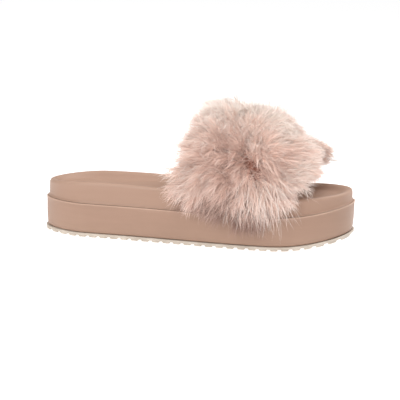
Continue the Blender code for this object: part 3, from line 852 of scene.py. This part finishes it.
def flowAt(arch, x):
    # lean in the band's surface away from the whorls, and how near the next whorl is
    forward, roundArch, near = np.zeros_like(x), np.zeros_like(x), np.full_like(x, 9.0)
    for whorl in whorls:
        dx = x - whorl["x"]
        da = (arch - whorl["arch"]) * plumeShape["archLength"]
        far = np.hypot(dx, da) + 1e-6
        push = whorl["push"] * np.minimum(far / 0.011, 1) * np.exp(-(far / whorl["reach"]) ** 2)
        forward += push * dx / far
        roundArch += push * da / far
        near = np.minimum(near, far / whorl["reach"])
    return forward, roundArch, near


def tuftNoise(arch, x, seed):
    # slow waves over the band, so that neighbouring plumes lie together in tufts
    rng = np.random.default_rng(seed)
    total = np.zeros_like(x)
    for _ in range(7):
        angle, phase = rng.uniform(0, 2 * np.pi, 2)
        wave = 2 * np.pi / rng.uniform(0.008, 0.026)
        place = np.cos(angle) * x + np.sin(angle) * arch * plumeShape["archLength"]
        total += np.sin(place * wave + phase)
    return total / 2.6


downwards = np.array([0, 0, -1.0])


def growGuides(root, normal, lean, length, stand, droop, rng):
    # a plume's shaft leaves along the normal and turns over into its lean and down
    count, points = len(root), plumeShape["guidePoints"]
    paths = np.zeros((count, points, 3))
    paths[:, 0] = root
    slowWave, quickWave = rng.normal(size=(2, count, 3))
    for k in range(1, points):
        s = (k - 0.5) / (points - 1)
        sweep = plumeShape["sweep"] * (0.4 + 0.8 * s)
        direction = normal * (stand * (1 - 0.72 * s))[:, None] + lean * sweep
        direction = direction + downwards * (droop * s * s)[:, None]
        curl = slowWave * math.sin(4.5 * s) + quickWave * math.cos(7 * s)
        direction = unit(direction) + curl * plumeShape["curl"] * s
        paths[:, k] = paths[:, k - 1] + direction * (length / (points - 1))[:, None]
    return paths


def sampleGuides(guides, owner, s):
    last = guides.shape[1] - 1
    place = np.clip(s, 0, 0.999) * last
    low = place.astype(int)
    start, end = guides[owner, low], guides[owner, low + 1]
    return start + (end - start) * (place - low)[:, None], unit(end - start)


def keepOffSole(paths, clear):
    # barbs that hang beside the sole stay outside its wall
    x, y, z = paths[..., 0], paths[..., 1], paths[..., 2]
    share = np.clip(shareAlong(x), 0.01, 0.99)
    low = z < rimTop(x) + 0.0015
    for side, sign in (("lateral", -1), ("medial", 1)):
        wall = sideY(share, side) + sign * clear
        inside = low & (sign * y > 0) & (sign * (y - wall) < 0)
        paths[..., 1] = np.where(inside, wall, paths[..., 1])
    return paths


def barbRibbons(name, paths, widths, tones, rootShare, facing, material):
    # one tapering ribbon for each path, its flat side towards facing
    count, points = paths.shape[:2]
    tangent = unit(np.gradient(paths, axis=1))
    side = unit(np.cross(tangent, facing[:, None, :]))
    along = np.linspace(0, 1, points)
    profile = (0.55 + 0.45 * np.sin(np.pi * np.minimum(along * 1.4, 1))) * (1 - along ** 3)
    half = widths[:, None] * profile[None, :] / 2 + barbShape["tipWidth"] / 2
    left = paths - side * half[..., None]
    right = paths + side * half[..., None]
    body = np.stack([left[:, :-1], right[:, :-1]], 2).reshape(count, -1, 3)
    verts = np.concatenate([body, paths[:, -1:]], 1)
    base = (np.arange(count) * verts.shape[1])[:, None]
    segment = np.arange(points - 2)
    quads = np.stack([2 * segment, 2 * segment + 1, 2 * segment + 3, 2 * segment + 2], -1)
    quads = (base[:, None] + quads[None]).reshape(-1, 4)
    last = 2 * (points - 2)
    tris = base + np.array([[last, last + 1, last + 2]])
    thing = meshFromArrays(name, verts.reshape(-1, 3), quads, tris)
    # U holds the tone, V the distance from the plume's root
    spread = 0.006
    pair = np.stack([tones - spread, tones + spread], -1)
    u = np.concatenate([np.tile(pair, (1, points - 1)), tones[:, None]], 1)
    reach = np.concatenate([np.repeat(along[:-1], 2), [1.0]])
    v = rootShare[:, None] + (1 - rootShare[:, None]) * reach[None]
    uv = np.clip(np.stack([u, v], -1).reshape(-1, 2), 0.0, 1.0)
    loops = np.zeros(len(thing.data.loops), dtype=np.int32)
    thing.data.loops.foreach_get("vertex_index", loops)
    layer = thing.data.uv_layers.new(name="OFBake")
    layer.data.foreach_set("uv", uv[loops].astype(np.float32).ravel())
    thing.data.shade_smooth()
    thing.data.materials.append(material)
    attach(thing, "root")
    print(name, count, "barbs,", len(quads) * 2 + len(tris), "triangles")
    return thing


def sideShade(arch, x):
    # 1 on the rose part low on the sides, 0 on the pale crown and front
    lateral = np.exp(-(((arch - 0.15) / 0.16) ** 2) - ((x - 0.038) / 0.036) ** 2)
    medial = np.exp(-(((arch - 0.86) / 0.16) ** 2) - ((x - 0.038) / 0.040) ** 2)
    return np.maximum(lateral, medial)


def plantPlumes(zone, rng):
    # the shafts of one zone, with each plume's normal, length and tone
    plumes = zone["plumes"]
    arch = rng.uniform(*zone["arch"], plumes)
    along = narrowAtFeet(arch, rng.uniform(*zone["along"], plumes))
    root = bandPoint(arch, along)
    x = root[:, 0]
    normal, forwardAxis, roundAxis = bandFrame(arch, along)
    forward, roundArch, near = flowAt(arch, x)
    tuftLean, jitter = plumeShape["tuftLean"], plumeShape["jitter"]
    nearestFoot = np.minimum(arch, 1 - arch)
    # the front corner of each side is brushed out towards the toe
    lobe = np.exp(-((nearestFoot - plumeShape["lobeArch"]) / plumeShape["lobeWidth"]) ** 2)
    lobe = lobe * np.clip((along - 0.5) * 2, 0, 1)
    forward = forward + smoothTable(leanRows, "forward", along) + plumeShape["lobeForward"] * lobe
    forward = forward + tuftLean * tuftNoise(arch, x, 21) + rng.normal(0, jitter, plumes)
    roundArch = roundArch + tuftLean * tuftNoise(arch, x, 22)
    fall = (arch - 0.5) * smoothTable(leanRows, "fall", along)
    roundArch = roundArch + fall + rng.normal(0, jitter, plumes)
    lean = forwardAxis * forward[:, None] + roundAxis * roundArch[:, None]
    strength = np.linalg.norm(lean, axis=1)
    lean = lean / np.maximum(strength, 1e-6)[:, None] * np.clip(strength, 0, 1.35)[:, None]
    # plumes at the two feet of the band hang over the sole's side
    foot = np.clip(1 - nearestFoot / plumeShape["skirtArch"], 0, 1)
    skirt = foot * smoothTable(leanRows, "skirt", along)
    lean = lean + downwards * (plumeShape["skirtHang"] * skirt)[:, None]
    skirt = np.maximum(skirt, 0)
    # and the back corner hangs a little further over the heel side
    corner = np.exp(-((nearestFoot - plumeShape["cornerArch"]) / plumeShape["cornerWidth"]) ** 2)
    corner = corner * np.clip((0.25 - along) * 4, 0, 1)
    eye = 1 - plumeShape["eyeShortening"] * np.exp(-(near * 1.9) ** 2)
    length = plumeShape["length"] * smoothTable(leanRows, "length", along) * eye
    length = length * (1 + plumeShape["skirtLength"] * skirt + plumeShape["lobeLength"] * lobe
                       + plumeShape["cornerLength"] * corner)
    length = length * (1 + plumeShape["tuftLength"] * tuftNoise(arch, x, 23))
    length = length * rng.uniform(0.82, 1.16, plumes)
    stand = plumeShape["stand"] * smoothTable(leanRows, "stand", along) * (1 - 0.25 * foot)
    stand = stand * rng.uniform(0.85, 1.15, plumes)
    droop = plumeShape["droop"] * (1 + 2.0 * skirt) * rng.uniform(0.5, 1.4, plumes)
    guides = growGuides(root, normal, lean, length, stand, droop, rng)
    tone = toneShares["least"] + toneShares["side"] * sideShade(arch, x)
    tone = tone + plumeShape["tuftTone"] * tuftNoise(arch, x, 24)
    # the feet of the band are darkened to mauve: partly the feathers' own colour, partly painted shade on
    # the lower skirt
    tone = tone + toneShares["foot"] * foot ** 1.7 + toneShares["lobe"] * lobe
    return guides, normal, length, tone


def growPlumes(zone, rng):
    # barbs leave each shaft to both sides and bend towards its tip
    guides, normal, length, tone = plantPlumes(zone, rng)
    plumes, points, shape = zone["plumes"], barbShape["points"], barbShape
    owner = np.repeat(np.arange(plumes), barbShape["perPlume"])
    total = len(owner)
    s = rng.uniform(0, 1, total) ** 0.8
    start, tangent = sampleGuides(guides, owner, s)
    roll = rng.normal(0, shape["roll"], plumes)[owner][:, None]
    side = unit(np.cross(tangent, normal[owner]))
    side = side * np.cos(roll) + np.cross(side, tangent) * np.sin(roll)
    side = side * rng.choice([-1.0, 1.0], total)[:, None]
    splay = shape["splay"] + (shape["splayAtTip"] - shape["splay"]) * s
    splay = np.radians(splay * rng.uniform(0.35, 1.15, total))
    share = shape["share"] + (shape["shareAtTip"] - shape["share"]) * s
    reach = length[owner] * share * rng.uniform(0.6, 1.15, total)
    drift = rng.normal(0, shape["outOfPlane"], (total, 3))
    wave = rng.normal(0, shape["wave"], (total, 3))
    barbs = np.zeros((total, points, 3))
    barbs[:, 0] = start
    for k in range(1, points):
        t = (k - 0.5) / (points - 1)
        turn = (splay * (1 - 0.5 * t))[:, None]
        direction = tangent * np.cos(turn) + side * np.sin(turn) + drift * t
        direction = direction + wave * math.sin(5.5 * t) + downwards * shape["droop"] * t * t
        barbs[:, k] = barbs[:, k - 1] + unit(direction) * (reach / (points - 1))[:, None]
    barbs = keepOffSole(barbs, rng.uniform(*shape["soleGap"], total)[:, None])
    barbs[..., 2] = np.maximum(barbs[..., 2], shape["lowest"])
    tone = tone + rng.normal(0, toneShares["plumeSpread"], plumes)
    tones = np.clip(tone[owner] + rng.normal(0, toneShares["barbSpread"], total), 0.02, 0.98)
    facing = unit(normal[owner] + rng.normal(0, shape["facingSpread"], (total, 3)))
    widths = shape["width"] * rng.uniform(0.6, 1.3, total)
    return barbs, widths, tones, s * shape["rootShare"], facing


# where each zone's plumes start, round the arch and along the band
plumeZones = [
    {"name": "marabouBack", "plumes": 900, "arch": (0.0, 1.0), "along": (-0.11, 0.16)},
    {"name": "marabouFront", "plumes": 900, "arch": (0.0, 1.0), "along": (0.84, 1.12)},
    {"name": "marabouCrown", "plumes": 900, "arch": (0.28, 0.72), "along": (0.12, 0.88)},
    {"name": "marabouLateral", "plumes": 920, "arch": (0.0, 0.31), "along": (0.10, 0.90)},
    {"name": "marabouMedial", "plumes": 920, "arch": (0.69, 1.0), "along": (0.10, 0.90)},
]

# long single strands that stray out of the pile: how many, where they start and how they leave
wispRows = [
    {"count": 190, "arch": (0.02, 0.12), "along": (0.60, 0.95),
     "length": (0.030, 0.052), "forward": 0.55, "hang": 1.2},
    {"count": 50, "arch": (0.02, 0.10), "along": (0.40, 0.70),
     "length": (0.030, 0.042), "forward": 0.05, "hang": 1.6},
    {"count": 110, "arch": (0.88, 0.98), "along": (0.45, 0.95),
     "length": (0.028, 0.046), "forward": 0.40, "hang": 1.4},
    {"count": 70, "arch": (0.02, 0.14), "along": (-0.08, 0.25),
     "length": (0.022, 0.036), "forward": -0.9, "hang": 0.6},
    {"count": 70, "arch": (0.86, 0.98), "along": (-0.08, 0.25),
     "length": (0.022, 0.036), "forward": -0.9, "hang": 0.6},
    {"count": 420, "arch": (0.05, 0.95), "along": (-0.08, 1.05),
     "length": (0.022, 0.031), "forward": 0.0, "hang": 0.0},
]


def makeWisps(material):
    rng = np.random.default_rng(77)
    paths, tones, facing = [], [], []
    for row in wispRows:
        count = row["count"]
        arch = rng.uniform(*row["arch"], count)
        along = rng.uniform(*row["along"], count)
        normal, forwardAxis, roundAxis = bandFrame(arch, along)
        lean = forwardAxis * (row["forward"] + rng.normal(0, 0.5, (count, 1)))
        lean = lean + roundAxis * rng.normal(0, 0.5, (count, 1)) + downwards * row["hang"]
        stand = np.full(count, 1.1) * rng.uniform(0.8, 1.3, count)
        droop = (0.25 + row["hang"]) * rng.uniform(0.5, 1.2, count)
        length = rng.uniform(*row["length"], count)
        guides = growGuides(bandPoint(arch, along), normal, lean, length, stand, droop, rng)
        curl = rng.normal(0, 0.0022, (count, 1, 3))
        place = np.linspace(0, 1, guides.shape[1])[None, :, None]
        guides = guides + curl * place ** 2 * np.sin(place * 4.0)
        paths.append(keepOffSole(guides, rng.uniform(0.0010, 0.0060, (count, 1))))
        tones.append(rng.uniform(0.05, 0.45, count))
        facing.append(unit(normal + rng.normal(0, 0.5, (count, 3))))
    paths, tones = np.concatenate(paths), np.concatenate(tones)
    paths[..., 2] = np.clip(paths[..., 2], barbShape["lowest"], barbShape["highestWisp"])
    widths = barbShape["width"] * rng.uniform(0.9, 1.5, len(paths))
    rootShare = np.full(len(paths), 0.1)
    barbRibbons("marabouWisps", paths, widths, tones, rootShare, np.concatenate(facing), material)


def makeFeathers():
    material = featherMaterial()
    makeWisps(material)
    for number, zone in enumerate(plumeZones):
        rng = np.random.default_rng(100 + number)
        barbs, widths, tones, rootShare, facing = growPlumes(zone, rng)
        barbRibbons(zone["name"], barbs, widths, tones, rootShare, facing, material)


stageLook = {
    "floorSize": 12, "floorColour": (0.55, 0.55, 0.55), "floorRoughness": 0.85, "floorGlow": 0.80,
    "skyLow": 0.08, "skyHigh": 0.40, "skyAim": (-0.60, -0.40, 0.70),
    "horizon": 1.0, "horizonStart": 0.07, "horizonEnd": 0.24,
}


def makeStage():
    bpy.ops.mesh.primitive_plane_add(size=stageLook["floorSize"])
    floor = bpy.context.object
    floor.name = "floor"
    material, nodes, links = newMaterial("paleFloor")
    shader = nodes["Principled BSDF"]
    shader.inputs["Base Color"].default_value = (*stageLook["floorColour"], 1)
    shader.inputs["Roughness"].default_value = stageLook["floorRoughness"]
    shader.inputs["Specular IOR Level"].default_value = 0
    # the floor is a pale sheet lit from below, as in a product booth
    shader.inputs["Emission Color"].default_value = (1, 1, 1, 1)
    shader.inputs["Emission Strength"].default_value = stageLook["floorGlow"]
    floor.data.materials.append(material)
    world = bpy.data.worlds.new("studio")
    world.use_nodes = True
    nodes, links = world.node_tree.nodes, world.node_tree.links
    # brighter from the front, the heel end and above
    coords = nodes.new("ShaderNodeTexCoord").outputs["Generated"]
    aimed = nodes.new("ShaderNodeVectorMath")
    aimed.operation = "DOT_PRODUCT"
    links.new(coords, aimed.inputs[0])
    aimed.inputs[1].default_value = stageLook["skyAim"]
    span = (stageLook["skyHigh"] - stageLook["skyLow"]) / 2
    facing = aimed.outputs["Value"]
    strength = mathNode(nodes, links, "MULTIPLY_ADD", facing, span, stageLook["skyLow"] + span)
    # a white band just above the horizon, where the sheet would curve up
    split = nodes.new("ShaderNodeSeparateXYZ")
    links.new(coords, split.inputs["Vector"])
    band = nodes.new("ShaderNodeMapRange")
    band.inputs["From Min"].default_value = stageLook["horizonStart"]
    band.inputs["From Max"].default_value = stageLook["horizonEnd"]
    band.inputs["To Min"].default_value = stageLook["horizon"]
    band.inputs["To Max"].default_value = 0
    links.new(split.outputs["Z"], band.inputs["Value"])
    strength = mathNode(nodes, links, "MAXIMUM", strength, band.outputs["Result"])
    nodes["Background"].inputs["Color"].default_value = (1, 1, 1, 1)
    links.new(strength, nodes["Background"].inputs["Strength"])
    bpy.context.scene.world = world


softboxes = [
    {"name": "keyBox", "place": (-0.55, -1.22, 1.00), "size": 0.9, "power": 12},
    {"name": "topBox", "place": (0.30, 0.16, 1.30), "size": 1.0, "power": 13},
    {"name": "fillBox", "place": (0.75, 0.80, 0.90), "size": 0.9, "power": 5},
]


def makeLights():
    for box in softboxes:
        light = bpy.data.lights.new(box["name"], "AREA")
        light.size = box["size"]
        light.energy = box["power"]
        lamp = bpy.data.objects.new(box["name"], light)
        lamp.location = box["place"]
        aim = Vector((0, 0, 0.05)) - Vector(box["place"])
        lamp.rotation_euler = aim.to_track_quat("-Z", "Y").to_euler()
        bpy.context.scene.collection.objects.link(lamp)


shot = {
    "azimuth": 11.7, "elevation": 10.1, "roll": -1.5, "distance": 1.40,
    "aimHeight": 0.045, "aimRight": 0.0012, "aimDown": 0.01376,
    "pixelsPerMetre": 1173.2, "framePixels": 400, "sensor": 36,
}


def makeCamera():
    turn, tilt, roll = (math.radians(shot[key]) for key in ("azimuth", "elevation", "roll"))
    back = Vector((math.sin(turn) * math.cos(tilt), -math.cos(turn) * math.cos(tilt), math.sin(tilt)))
    right = Vector((math.cos(turn), math.sin(turn), 0))
    up = back.cross(right)
    rolledRight = right * math.cos(roll) - up * math.sin(roll)
    rolledUp = right * math.sin(roll) + up * math.cos(roll)
    place = Vector((0, 0, shot["aimHeight"])) + back * shot["distance"]
    aim = Vector((0, 0, shot["aimHeight"])) + rolledRight * shot["aimRight"] - rolledUp * shot["aimDown"]
    back = (place - aim).normalized()
    rolledRight = rolledUp.cross(back).normalized()
    rolledUp = back.cross(rolledRight)
    camera = bpy.data.cameras.new("camera")
    camera.sensor_width = shot["sensor"]
    focalPixels = shot["pixelsPerMetre"] * shot["distance"]
    camera.lens = focalPixels / shot["framePixels"] * camera.sensor_width
    holder = bpy.data.objects.new("camera", camera)
    axes = Matrix((rolledRight, rolledUp, back)).transposed()
    holder.matrix_world = Matrix.Translation(place) @ axes.to_4x4()
    bpy.context.scene.collection.objects.link(holder)
    bpy.context.scene.camera = holder
    print("camera lens", round(camera.lens, 1))


makeCamera()
makeLights()
makeStage()
makeOutsole()
makePlatform()
makeFootbed()
makeStrap()
makeStrapStitches()
makeUndercoat()
makeFeathers()
bpy.context.scene.view_settings.view_transform = "Standard"
